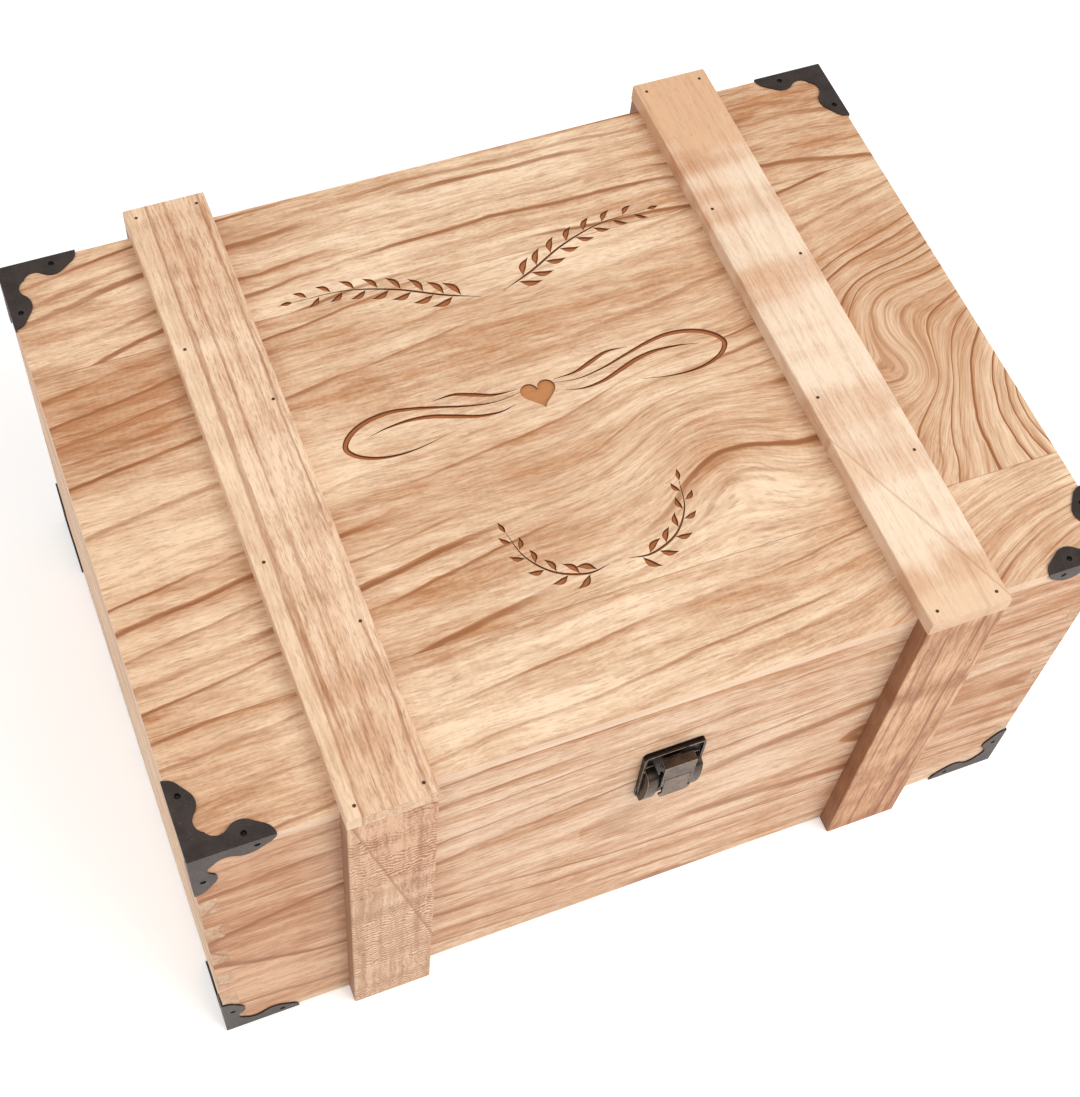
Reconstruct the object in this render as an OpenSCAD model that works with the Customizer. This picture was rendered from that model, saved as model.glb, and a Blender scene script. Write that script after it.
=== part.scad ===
// Wooden keepsake box with a hinged lid, sawn from one glued carcass into lid and base.
// Frame: X to the right, Y to the back, Z up. The origin is under the middle of the box,
// on the surface it stands on. Sizes are in millimetres and angles in degrees.

/* [Wooden body] */
// Width of the body, left to right
body_w = 380; // [320:1:480]
// Depth of the body, front to back
body_d = 276; // [220:1:360]
// Height of the body, underside to top
body_h = 196; // [160:1:260]
// Height of the part of the body that is the lid
lid_h = 56; // [46:1:75]
// Thickness of the side boards
wall = 7; // [6:0.5:12]
// Thickness of the top and bottom panels
panel_t = 6; // [5.5:0.5:10]
// Height of one finger of the corner joints
finger_h = 14; // [10:0.5:20]
// Saw cut between lid and base
saw_gap = 0.3; // [0.2:0.1:1]

/* [Straps] */
// Width of a strap
strap_w = 35; // [28:1:44]
// Thickness of a strap
strap_t = 8; // [6.5:0.5:12]
// Distance of a strap's middle from the middle of the box
strap_x = 117; // [100:1:135]
// Rounding of a strap's long outer edges
strap_edge = 0.8; // [0.3:0.1:2]

/* [Corner brackets] */
// Length of each of a bracket's three legs
bracket_leg = 33; // [27:1:44]
// Width of a leg across its lobe
bracket_w = 9.7; // [8:0.1:12]
// Width of a leg at its waist
waist_w = 6.4; // [5.6:0.1:7.6]
// Radius of the round lobe on a leg
lobe_r = 6.6; // [5.6:0.1:8]
// Radius of the hollow between a leg's lobe and the corner
cove_r = 5; // [4:0.1:6]
// Radius of the round tip of a leg
tip_r = 6.4; // [5.4:0.1:7.4]
// Thickness of the bracket sheet
bracket_t = 0.8; // [0.6:0.1:1.2]
// Radius of the nail holes in a bracket
bracket_hole_r = 1.2; // [1.2:0.05:1.6]

/* [Nails and screws] */
// Radius of the plain nails in the straps
strap_nail_r = 0.7; // [0.5:0.1:1]
// Depth of the plain nails in the wood under a strap
strap_nail_deep = 5; // [3:0.5:5]
// Radius of the small round-head nails
pin_nail_r = 0.55; // [0.4:0.05:0.7]
// Length of the small round-head nails in the wood
pin_nail_len = 5; // [3:0.5:5]
// Radius of the round nail heads
pin_head_r = 1.15; // [1:0.05:1.2]
// Height of the round nail heads
pin_head_h = 0.55; // [0.4:0.05:0.6]
// Radius of the hinge screws
screw_r = 1.2; // [1:0.1:1.5]
// Length of the hinge screws in the wood
screw_len = 5.5; // [4:0.5:5.5]
// Clearance around each nail and screw in its hole
nail_fit = 0.05; // [0.02:0.01:0.1]

/* [Hinges] */
// Width of a hinge
hinge_w = 38; // [30:1:48]
// Height of one hinge leaf above or below the pin
leaf_h = 20; // [16:1:26]
// Thickness of the hinge leaves
leaf_t = 0.9; // [0.8:0.1:1.2]
// Outer radius of the hinge knuckles
knuckle_r = 2.2; // [1.8:0.1:2.7]
// Radius of the hinge pin
hinge_pin_r = 1; // [0.8:0.1:1.2]
// Distance of a hinge's middle from the middle of the box
hinge_x = 62; // [40:1:75]
// Angle to which the lid opens
lid_angle = 100; // [70:5:120]
// Angle left free between the bevelled strap ends when the lid is open
bevel_spare = 4; // [2:1:10]
// Clearance between parts that turn against each other
turn_gap = 0.3; // [0.2:0.05:0.5]
// Radial clearance of a pin in the bore that turns on it
pin_fit = 0.05; // [0.02:0.01:0.1]

/* [Latch] */
// Distance of the latch's middle to the right of the middle of the box
latch_x = 2.5; // [-5:0.5:5]
// Width of the latch plates
latch_w = 26.5; // [22.5:0.5:32]
// Thickness of the latch plates
latch_t = 1; // [0.8:0.1:1.2]
// Height of the catch plate above the saw cut
catch_h = 11.5; // [9:0.5:14]
// Height of the latch base plate below the saw cut
latch_base_h = 30; // [25:0.5:36]
// Height of the raised rim of both plates
rim_h = 2.5; // [1.8:0.1:3]
// Width of the raised rim
rim_w = 1; // [0.8:0.1:1.2]
// Width of the lever and of the tongue above it
lever_w = 13.8; // [11.5:0.1:16.6]
// Distance of the lever's outer face from the box
lever_out = 8; // [6.5:0.1:9.6]
// Length of the lever below its pivot
lever_drop = 14; // [11.5:0.5:17]
// Thickness of the lever and tongue sheet
sheet_t = 0.8; // [0.6:0.1:1]
// Radius of the lever's two pivot pins
lever_pin_r = 0.75; // [0.6:0.05:0.9]
// Radius of the pin that carries the tongue
tongue_pin_r = 0.6; // [0.5:0.05:0.75]

/* [Hidden] */
$fn = 48;
// The body stands on the bracket sheets and strap ends, so its underside is one sheet up
body_z = bracket_t;
top_z = body_z + body_h;
split_z = top_z - lid_h;
lid_z = split_z + saw_gap / 2;
base_top_z = split_z - saw_gap / 2;
front_y = -body_d / 2;
side_x = body_w / 2;
cut = 1;
LEFT = -1;
RIGHT = 1;
FRONT = -1;
BACK = 1;

// Nails of a top strap: [side of the strap's middle, share of half the body's depth]
top_nails = [[1, -0.52], [-1, -0.26], [1, 0.25], [-1, 0.5]];
// Nails of an upright strap in the lid and in the base: [side, share of the piece's height]
lid_nails = [[1, 0.28], [-1, 0.72]];
base_nails = [[1, 0.13], [-1, 0.415], [1, 0.66], [-1, 0.88]];
nail_inset = 4.5;
nail_side = strap_w / 2 - nail_inset;
// The end nails of a top strap go down into the upright straps
end_nail_y = body_d / 2 + 3;

// Nail places on a bracket face, measured from the corner. The two legs differ, so that
// nails of neighbouring faces pass each other inside the wood.
nail_near = bracket_leg - 11;
nail_far = bracket_leg - 7.5;
nail_in = 4.2;
// Distance of a lobe's middle from its leg's end
lobe_back = 11.2;
// A nail head is the cap of a ball of this radius
head_ball_r = pin_head_r * 1.4;

// Hinge pin, just clear of the back of the box
hinge_y = body_d / 2 + knuckle_r + turn_gap;
bevel_angle = (lid_angle + bevel_spare) / 2;
knuckle_w = hinge_w / 3;
screw_head_r = screw_r + leaf_t;
screw_inset = 6.5;
screw_x = hinge_w / 2 - screw_inset;
screw_z = leaf_h - screw_inset;

// Latch places as [distance out from the box, height above the saw cut]
lever_pivot = [lever_out - 3.1, -4];
tongue_pivot = [lever_pivot[0] + 0.6, lever_pivot[1] - lever_drop + 6.8];
lever_top = lever_pivot[1] + 1.8;
lever_foot = lever_pivot[1] - lever_drop;
lever_flare = tongue_pivot[1] - 3;
lever_round = 2.8;
// Radius of the lever's eyes and half the height of the web between them, and the same for
// the eye of the tongue's legs
ear_eye_r = 1.7;
ear_web = 1.6;
leg_eye_r = 1.6;
// Widths across the latch, from the middle outwards: lever neck, ears, tongue legs, wings
side_gap = 0.3;
leg_w = 1;
neck_w = lever_w - 2 * (leg_w + side_gap);
ear_x = neck_w / 2 - 0.1;
ear_t = 0.8;
leg_x = lever_w / 2;
cheek_x = leg_x + 0.4;
cheek_w = latch_w / 2 - rim_w - side_gap - cheek_x;
lever_pin_end = cheek_x + 0.65 * cheek_w;
// The wings reach out a little beyond the pivot, and end above the base plate's foot
cheek_out = lever_pivot[0] + 1.9;
cheek_foot = -latch_base_h + 2.5;
cheek_top = -0.7;
cheek_round = 4.2;
bulge_r = 44;
bulge_below = 6;
// The tongue's plate, and its tip turned down behind the catch plate's hook
tongue_top = catch_h - 2;
tongue_foot = lever_pivot[1] + 2.35;
hook_z = 2.5;
hook_out = 3.4;
hook_top = 6;
hook_w = 8;
tip_out = hook_out + 0.5;
tip_foot = hook_z + 1.5;
// The two plates: corner radii, where the base plate's rim ends, and their nails
catch_round = 2;
base_round = 6;
rim_foot = -latch_base_h * 0.6;
catch_nail = [latch_w / 2 - 4.4, catch_h - 4.2];
plate_nail = [4, -latch_base_h + 6.3];

// A block between two corners
module block(low, high) {
    translate(low)
        cube(high - low);
}

// Children carried to one side and mirrored there, so that one side is drawn once
module on_side(side) {
    mirror([side > 0 ? 0 : 1, 0, 0])
        children();
}

module on_back_or_front(face) {
    mirror([0, face > 0 ? 0 : 1, 0])
        children();
}

// Turns [across, up, out] into X, Z and the way out of the back face
module on_face(face) {
    on_back_or_front(face)
        translate([0, body_d / 2, 0])
            mirror([0, 1, 0])
                rotate([90, 0, 0])
                    children();
}

// Carcass: boards with finger joints, and nail holes where fittings go in

// Levels of the finger joints that a board passes, odd or even, counted from the saw cut
function levels(z_low, z_high, odd) = [
    for (k = [floor((z_low - split_z) / finger_h) : ceil((z_high - split_z) / finger_h) - 1])
        if (abs(k) % 2 == odd) k
];

// Sockets at both ends of a board of a given length, one for each level in the list
module finger_sockets(length, list) {
    for (end = [-1, 1], k = list)
        translate([end * (length / 2 - wall / 2 + cut / 2), 0, split_z + (k + 0.5) * finger_h])
            cube([wall + cut, wall + 2 * cut, finger_h], center = true);
}

module board(length, z_low, z_high, odd) {
    difference() {
        translate([-length / 2, -wall / 2, z_low])
            cube([length, wall, z_high - z_low]);
        finger_sockets(length, levels(z_low, z_high, odd));
    }
}

module front_or_back_board(face, z_low, z_high) {
    translate([0, face * (body_d / 2 - wall / 2), 0])
        board(body_w, z_low, z_high, 0);
}

module left_or_right_board(side, z_low, z_high) {
    translate([side * (body_w / 2 - wall / 2), 0, 0])
        rotate(90)
            board(body_d, z_low, z_high, 1);
}

// Corner brackets

// A leg narrows to its waist in a round hollow, the cove, which runs on into the lobe. A line
// that touches lobe and tip joins them; tip_side is the way out of the sheet there.
lobe = [bracket_leg - lobe_back, bracket_w - lobe_r];
tip = [bracket_leg - tip_r, 0];
tip_angle = acos((lobe_r - tip_r) / norm(tip - lobe)) - atan2(lobe[1], tip[0] - lobe[0]);
tip_side = [cos(tip_angle), sin(tip_angle)];
cove_y = waist_w + cove_r;
cove_x = lobe[0] - sqrt(pow(cove_r + lobe_r, 2) - pow(cove_y - lobe[1], 2));
cove_end = cove_x + (lobe[0] - cove_x) * cove_r / (cove_r + lobe_r);

module bracket_leg_outline() {
    difference() {
        union() {
            square([cove_end, bracket_w]);
            translate(lobe)
                circle(lobe_r);
            translate(tip)
                circle(tip_r);
            polygon([lobe, tip, tip + tip_r * tip_side, lobe + lobe_r * tip_side]);
        }
        translate([cove_x, cove_y])
            circle(cove_r);
    }
}

// Two legs at a right angle, with both coves cut out where they meet near the corner
module bracket_outline() {
    intersection() {
        difference() {
            union() {
                bracket_leg_outline();
                mirror([1, -1])
                    bracket_leg_outline();
            }
            translate([cove_x, cove_y])
                circle(cove_r);
            translate([cove_y, cove_x])
                circle(cove_r);
        }
        square(bracket_leg + cut);
    }
}

// Places of the two nails on a bracket face
bracket_nails = [[nail_near, nail_in], [nail_in, nail_far]];

// Repeats a face's children on the three faces that meet at a corner
module three_faces() {
    children();
    rotate([90, 0, 90])
        children();
    rotate([90, 0, 90])
        rotate([90, 0, 90])
            children();
}

// Carries children from a corner at the origin, with its legs along +X, +Y and +Z,
// to a corner of the body
module at_corner(side, face, on_top) {
    translate([side * (side_x + bracket_t), face * (body_d / 2 + bracket_t), on_top ? top_z + bracket_t : 0])
        mirror([side > 0 ? 1 : 0, 0, 0])
            mirror([0, face > 0 ? 1 : 0, 0])
                mirror([0, 0, on_top ? 1 : 0])
                    children();
}

module corner_bracket() {
    color("dimgray")
        three_faces()
            linear_extrude(bracket_t)
                difference() {
                    bracket_outline();
                    for (place = bracket_nails)
                        translate(place)
                            circle(bracket_hole_r);
                }
}

// Small round-head nail: shank down from the wood's surface, head on a sheet of thickness seat
module pin_nail(seat) {
    translate([0, 0, -pin_nail_len])
        cylinder(r = pin_nail_r, h = pin_nail_len + seat + pin_head_h / 2);
    translate([0, 0, seat])
        intersection() {
            translate([0, 0, pin_head_h - head_ball_r])
                sphere(head_ball_r);
            cylinder(r = pin_head_r, h = pin_head_h);
        }
}

module pin_hole() {
    translate([0, 0, -pin_nail_len - nail_fit])
        cylinder(r = pin_nail_r + nail_fit, h = pin_nail_len + nail_fit + cut);
}

// Children set on the wood under each nail hole of one bracket, pointing into it
module at_bracket_nails() {
    three_faces()
        for (place = bracket_nails)
            translate([place[0], place[1], bracket_t])
                mirror([0, 0, 1])
                    children();
}

module corner_bracket_nails(on_top) {
    color("black")
        for (side = [LEFT, RIGHT], face = [FRONT, BACK])
            at_corner(side, face, on_top)
                at_bracket_nails()
                    pin_nail(0);
}

module corner_bracket_holes(on_top) {
    for (side = [LEFT, RIGHT], face = [FRONT, BACK])
        at_corner(side, face, on_top)
            at_bracket_nails()
                pin_hole();
}

// Straps

module strap_section() {
    round_x = strap_w / 2 - strap_edge;
    translate([-strap_w / 2, 0])
        square([strap_w, strap_t - strap_edge]);
    translate([-round_x, 0])
        square([2 * round_x, strap_t]);
    for (side = [-1, 1])
        translate([side * round_x, strap_t - strap_edge])
            circle(strap_edge);
}

module upright_strap(z_low, z_high) {
    translate([0, body_d / 2, z_low])
        linear_extrude(z_high - z_low)
            strap_section();
}

module across_strap() {
    translate([0, body_d / 2 + strap_t, top_z])
        rotate([90, 0, 0])
            linear_extrude(body_d + 2 * strap_t)
                strap_section();
}

// Wedge cut off a back strap's end, so that lid and base can fold together at the hinge.
// The wedge opens from the hinge line; above is true for the lid's straps.
module bevel_wedge(above) {
    reach = strap_t + 2 * cut;
    rise = reach * tan(bevel_angle);
    translate([strap_w, hinge_y, split_z])
        mirror([0, 0, above ? 0 : 1])
            rotate([90, 0, -90])
                linear_extrude(2 * strap_w)
                    mirror([1, 0])
                        polygon([[0, -saw_gap], [reach, -saw_gap], [reach, rise], [0, 0]]);
}

function strap_nail_heights(list, z_low, z_high) = [
    for (nail = list) [nail[0] * nail_side, z_low + nail[1] * (z_high - z_low)]
];

lid_nail_places = strap_nail_heights(lid_nails, split_z, top_z);
base_nail_places = strap_nail_heights(base_nails, 0, split_z);

// Nails stand flush in the strap's outer face. A hole is a little wider and deeper.
module strap_nail(spare) {
    nail_len = strap_t + strap_nail_deep;
    translate([0, 0, -nail_len - spare])
        cylinder(r = strap_nail_r + spare, h = nail_len + spare + (spare > 0 ? cut : 0));
}

module at_upright_nails(places) {
    for (side = [LEFT, RIGHT], face = [FRONT, BACK], place = places)
        on_face(face)
            translate([side * strap_x + place[0], place[1], strap_t])
                children();
}

module at_top_nails() {
    for (side = [LEFT, RIGHT]) {
        for (nail = top_nails)
            translate([side * strap_x + nail[0] * nail_side, nail[1] * body_d / 2, top_z + strap_t])
                children();
        for (across = [-nail_side, nail_side], face = [FRONT, BACK])
            translate([side * strap_x + across, face * end_nail_y, top_z + strap_t])
                children();
    }
}

module lid_nail_holes() {
    at_upright_nails(lid_nail_places)
        strap_nail(nail_fit);
    at_top_nails()
        strap_nail(nail_fit);
}

module base_nail_holes() {
    at_upright_nails(base_nail_places)
        strap_nail(nail_fit);
}

// Hinges

// Children set at a hinge's middle, with X along the pin, Y out of the box and Z up
module at_hinge(side) {
    translate([side * hinge_x, hinge_y, split_z])
        children();
}

// Children set at the screws of one leaf, pointing out of the box
module at_leaf_screws(up) {
    for (across = [-screw_x, screw_x])
        translate([across, body_d / 2 - hinge_y, up * screw_z])
            rotate([-90, 0, 0])
                children();
}

module screw_holes(up) {
    for (side = [LEFT, RIGHT])
        at_hinge(side)
            at_leaf_screws(up)
                translate([0, 0, -screw_len - nail_fit])
                    cylinder(r = screw_r + nail_fit, h = screw_len + nail_fit + cut);
}

module hinge_screw() {
    slot_w = 0.5;
    slot_deep = 0.4;
    difference() {
        union() {
            translate([0, 0, -screw_len])
                cylinder(r = screw_r, h = screw_len + leaf_t / 2);
            cylinder(r1 = screw_r, r2 = screw_head_r, h = leaf_t);
        }
        for (turn = [0, 90])
            rotate(turn)
                translate([-screw_head_r * 0.6, -slot_w / 2, leaf_t - slot_deep])
                    cube([screw_head_r * 1.2, slot_w, slot_deep + cut]);
    }
}

module knuckle(low, high) {
    translate([low, 0, 0])
        rotate([0, 90, 0])
            cylinder(r = knuckle_r, h = high - low);
}

// One leaf: up is 1 for the lid and -1 for the base. The lid has the middle knuckle.
module hinge_leaf(up, ranges, other_ranges) {
    back = body_d / 2 - hinge_y;
    color("saddlebrown")
        difference() {
            union() {
                for (range = ranges) {
                    knuckle(range[0], range[1]);
                    block([range[0], back, up > 0 ? 0 : -knuckle_r - cut],
                          [range[1], back + leaf_t, up > 0 ? knuckle_r + cut : 0]);
                }
                block([-hinge_w / 2, back, up > 0 ? knuckle_r + turn_gap : -leaf_h],
                      [hinge_w / 2, back + leaf_t, up > 0 ? leaf_h : -knuckle_r - turn_gap]);
            }
            rotate([0, 90, 0])
                cylinder(r = hinge_pin_r + pin_fit, h = hinge_w + cut, center = true);
            at_leaf_screws(up) {
                cylinder(r1 = screw_r + nail_fit, r2 = screw_head_r + nail_fit, h = leaf_t);
            }
        }
}

middle_knuckle = [[-knuckle_w / 2 + turn_gap / 2, knuckle_w / 2 - turn_gap / 2]];
outer_knuckles = [[-hinge_w / 2, -knuckle_w / 2 - turn_gap / 2], [knuckle_w / 2 + turn_gap / 2, hinge_w / 2]];

module hinge_pin(side) {
    color("saddlebrown")
        at_hinge(side)
            rotate([0, 90, 0])
                cylinder(r = hinge_pin_r, h = hinge_w, center = true);
}

// Latch. Outlines across the box's front are drawn as [distance out, height] and carried
// along X, and outlines on the front as [across, height] and carried outwards.

module at_latch() {
    translate([latch_x, front_y, split_z])
        mirror([0, 1, 0])
            children();
}

// Carries a [distance out, height] outline along X from low to high
module along_x(low, high) {
    translate([low, 0, 0])
        rotate([90, 0, 90])
            linear_extrude(high - low)
                children();
}

// Carries an [across, height] outline outwards from near to far
module outwards(near, far) {
    translate([0, far, 0])
        rotate([90, 0, 0])
            linear_extrude(far - near)
                children();
}

module pin_across(place, radius, low, high) {
    translate([low, place[0], place[1]])
        rotate([0, 90, 0])
            cylinder(r = radius, h = high - low);
}

// Rectangle from low to high with its two upper or lower corners rounded
module rounded_plate(half_w, low, high, radius, up) {
    edge = up > 0 ? high : low;
    inner = edge - up * radius;
    difference() {
        translate([-half_w, low])
            square([2 * half_w, high - low]);
        for (side = [-1, 1])
            translate([side * half_w, edge])
                rotate(up > 0 ? (side > 0 ? 180 : 270) : (side > 0 ? 90 : 0))
                    difference() {
                        translate([-cut, -cut])
                            square(radius + cut);
                        translate([radius, radius])
                            circle(radius);
                    }
    }
}

module at_nail_pair(place) {
    for (side = [-1, 1])
        translate([side * place[0], 0, place[1]])
            rotate([-90, 0, 0])
                children();
}

// A plate with a raised rim along its sides and its rounded end
module rimmed_plate(low, high, radius, up, rim_low, rim_high) {
    outwards(0, latch_t)
        rounded_plate(latch_w / 2, low, high, radius, up);
    outwards(latch_t / 2, rim_h)
        intersection() {
            difference() {
                rounded_plate(latch_w / 2, low, high, radius, up);
                rounded_plate(latch_w / 2 - rim_w, up > 0 ? low - cut : low + rim_w,
                              up > 0 ? high - rim_w : high + cut, radius - rim_w, up);
            }
            translate([-latch_w / 2, rim_low])
                square([latch_w, rim_high - rim_low]);
        }
}

module nail_holes_in_plate(place) {
    at_nail_pair(place)
        translate([0, 0, -cut])
            cylinder(r = pin_nail_r + nail_fit, h = latch_t + 2 * cut);
}

// Outline of the wings that hold the lever: a long bulge with a round top, which starts
// inside the plate
module cheek_outline() {
    shoulder = cheek_top - cheek_round;
    intersection() {
        translate([cheek_out - bulge_r, lever_pivot[1] - bulge_below])
            circle(bulge_r, $fn = 120);
        translate([latch_t / 2, cheek_foot])
            square([cheek_out, cheek_top - cheek_foot]);
        union() {
            translate([0, cheek_foot])
                square([cheek_out, shoulder - cheek_foot]);
            translate([0, shoulder])
                square([cheek_out - cheek_round, cheek_round]);
            translate([cheek_out - cheek_round, shoulder])
                circle(cheek_round);
        }
    }
}

// The lever's sheet: a narrow neck between the tongue's legs and a wider, rounded foot
module lever_outline() {
    translate([-neck_w / 2, lever_foot + lever_round])
        square([neck_w, lever_top - lever_foot - lever_round]);
    rounded_plate(lever_w / 2, lever_foot, lever_flare, lever_round, -1);
}

module lever_ear_outline() {
    in_sheet = lever_out - sheet_t / 2;
    translate(lever_pivot)
        circle(ear_eye_r);
    translate(tongue_pivot)
        circle(ear_eye_r);
    polygon([
        lever_pivot - [ear_web, 0], lever_pivot + [0, ear_web], [in_sheet, lever_top],
        [in_sheet, tongue_pivot[1] - ear_web], tongue_pivot - [0, ear_web], tongue_pivot - [ear_web, 0]
    ]);
}

// One leg of the tongue, from the eye on its pin up to the tongue's plate. It passes in front
// of the lever's pivot pin, and its front edge meets the plate's face above eye_rise.
module tongue_leg_outline() {
    inner = lever_pivot[0] + lever_pin_r + turn_gap;
    eye_rise = 4.2;
    pin_pass = 1.8;
    in_plate = tongue_foot + 1;
    difference() {
        union() {
            translate(tongue_pivot)
                circle(leg_eye_r);
            polygon([
                tongue_pivot + [-0.75, 0.625] * leg_eye_r, tongue_pivot + [0.94, 0.31] * leg_eye_r,
                [lever_out, tongue_pivot[1] + eye_rise], [lever_out, in_plate],
                [lever_out - sheet_t, in_plate], [inner, lever_pivot[1] + pin_pass],
                [inner, lever_pivot[1] - pin_pass]
            ]);
        }
        translate(tongue_pivot)
            circle(tongue_pin_r + pin_fit);
    }
}

// Node modules of the lid

module lid_top_panel() {
    color("burlywood")
        difference() {
            block([-side_x, front_y, top_z - panel_t], [side_x, -front_y, top_z]);
            corner_bracket_holes(true);
            lid_nail_holes();
        }
}

module lid_front_board() {
    color("tan")
        difference() {
            front_or_back_board(FRONT, lid_z, top_z - panel_t);
            corner_bracket_holes(true);
            lid_nail_holes();
            at_latch()
                at_nail_pair(catch_nail)
                    pin_hole();
        }
}

module lid_back_board() {
    color("tan")
        difference() {
            front_or_back_board(BACK, lid_z, top_z - panel_t);
            corner_bracket_holes(true);
            lid_nail_holes();
            screw_holes(1);
        }
}

module lid_side_board(side) {
    color("tan")
        difference() {
            left_or_right_board(side, lid_z, top_z - panel_t);
            corner_bracket_holes(true);
        }
}

module lid_left_board() { lid_side_board(LEFT); }
module lid_right_board() { lid_side_board(RIGHT); }

module lid_top_strap(side) {
    color("wheat")
        difference() {
            translate([side * strap_x, 0, 0])
                across_strap();
            lid_nail_holes();
        }
}

module lid_top_strap_left() { lid_top_strap(LEFT); }
module lid_top_strap_right() { lid_top_strap(RIGHT); }

module lid_upright_strap(side, face) {
    color("burlywood")
        difference() {
            translate([side * strap_x, 0, 0])
                on_back_or_front(face)
                    upright_strap(lid_z, top_z);
            lid_nail_holes();
            if (face == BACK)
                translate([side * strap_x, 0, 0])
                    bevel_wedge(true);
        }
}

module lid_front_strap_left() { lid_upright_strap(LEFT, FRONT); }
module lid_front_strap_right() { lid_upright_strap(RIGHT, FRONT); }
module lid_back_strap_left() { lid_upright_strap(LEFT, BACK); }
module lid_back_strap_right() { lid_upright_strap(RIGHT, BACK); }

module lid_bracket_front_left() { at_corner(LEFT, FRONT, true) corner_bracket(); }
module lid_bracket_front_right() { at_corner(RIGHT, FRONT, true) corner_bracket(); }
module lid_bracket_back_left() { at_corner(LEFT, BACK, true) corner_bracket(); }
module lid_bracket_back_right() { at_corner(RIGHT, BACK, true) corner_bracket(); }

module lid_strap_nails() {
    color("dimgray") {
        at_upright_nails(lid_nail_places)
            strap_nail(0);
        at_top_nails()
            strap_nail(0);
    }
}

module lid_bracket_nails() { corner_bracket_nails(true); }

module catch_plate() {
    color("#5b4a38")
        at_latch()
            difference() {
                union() {
                    rimmed_plate(saw_gap / 2, catch_h, catch_round, 1, saw_gap / 2, catch_h);
                    along_x(-hook_w / 2, hook_w / 2) {
                        translate([latch_t / 2, hook_z])
                            square([hook_out - latch_t / 2, sheet_t]);
                        translate([hook_out - sheet_t, hook_z])
                            square([sheet_t, hook_top - hook_z]);
                    }
                }
                nail_holes_in_plate(catch_nail);
            }
}

module latch_nails(place) {
    at_latch()
        at_nail_pair(place)
            pin_nail(latch_t);
}

module catch_plate_nails() {
    color("#6d5a45")
        latch_nails(catch_nail);
}

module hinge_lid_leaf_left() { at_hinge(LEFT) hinge_leaf(1, middle_knuckle); }
module hinge_lid_leaf_right() { at_hinge(RIGHT) hinge_leaf(1, middle_knuckle); }

module hinge_lid_screws() {
    color("goldenrod")
        for (side = [LEFT, RIGHT])
            at_hinge(side)
                at_leaf_screws(1)
                    hinge_screw();
}

// Node modules of the base

module base_bottom_panel() {
    color("burlywood")
        difference() {
            block([-side_x, front_y, body_z], [side_x, -front_y, body_z + panel_t]);
            corner_bracket_holes(false);
        }
}

module base_front_board() {
    color("tan")
        difference() {
            front_or_back_board(FRONT, body_z + panel_t, base_top_z);
            corner_bracket_holes(false);
            base_nail_holes();
            at_latch()
                at_nail_pair(plate_nail)
                    pin_hole();
        }
}

module base_back_board() {
    color("tan")
        difference() {
            front_or_back_board(BACK, body_z + panel_t, base_top_z);
            corner_bracket_holes(false);
            base_nail_holes();
            screw_holes(-1);
        }
}

module base_side_board(side) {
    color("tan")
        difference() {
            left_or_right_board(side, body_z + panel_t, base_top_z);
            corner_bracket_holes(false);
        }
}

module base_left_board() { base_side_board(LEFT); }
module base_right_board() { base_side_board(RIGHT); }

module base_upright_strap(side, face) {
    color("burlywood")
        difference() {
            translate([side * strap_x, 0, 0])
                on_back_or_front(face)
                    upright_strap(0, base_top_z);
            base_nail_holes();
            if (face == BACK)
                translate([side * strap_x, 0, 0])
                    bevel_wedge(false);
        }
}

module base_front_strap_left() { base_upright_strap(LEFT, FRONT); }
module base_front_strap_right() { base_upright_strap(RIGHT, FRONT); }
module base_back_strap_left() { base_upright_strap(LEFT, BACK); }
module base_back_strap_right() { base_upright_strap(RIGHT, BACK); }

module base_bracket_front_left() { at_corner(LEFT, FRONT, false) corner_bracket(); }
module base_bracket_front_right() { at_corner(RIGHT, FRONT, false) corner_bracket(); }
module base_bracket_back_left() { at_corner(LEFT, BACK, false) corner_bracket(); }
module base_bracket_back_right() { at_corner(RIGHT, BACK, false) corner_bracket(); }

module base_strap_nails() {
    color("dimgray")
        at_upright_nails(base_nail_places)
            strap_nail(0);
}

module base_bracket_nails() { corner_bracket_nails(false); }

module latch_base_plate() {
    color("#5b4a38")
        at_latch()
            difference() {
                union() {
                    rimmed_plate(-latch_base_h, -saw_gap / 2, base_round, -1, rim_foot, -saw_gap / 2);
                    for (side = [-1, 1])
                        on_side(side)
                            along_x(cheek_x, cheek_x + cheek_w)
                                cheek_outline();
                }
                pin_across(lever_pivot, lever_pin_r + nail_fit, -lever_pin_end - nail_fit,
                           lever_pin_end + nail_fit);
                nail_holes_in_plate(plate_nail);
            }
}

module latch_plate_nails() {
    color("#6d5a45")
        latch_nails(plate_nail);
}

// Two short pins, one in each wing, on which the lever turns
module latch_lever_pins() {
    color("#8a7a63")
        at_latch()
            for (side = [-1, 1])
                on_side(side)
                    pin_across(lever_pivot, lever_pin_r, ear_x - ear_t - side_gap, lever_pin_end);
}

module hinge_base_leaf_left() { at_hinge(LEFT) hinge_leaf(-1, outer_knuckles); }
module hinge_base_leaf_right() { at_hinge(RIGHT) hinge_leaf(-1, outer_knuckles); }

module hinge_base_screws() {
    color("goldenrod")
        for (side = [LEFT, RIGHT])
            at_hinge(side)
                at_leaf_screws(-1)
                    hinge_screw();
}

module hinge_pin_left() { hinge_pin(LEFT); }
module hinge_pin_right() { hinge_pin(RIGHT); }

// Moving parts of the latch

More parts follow.
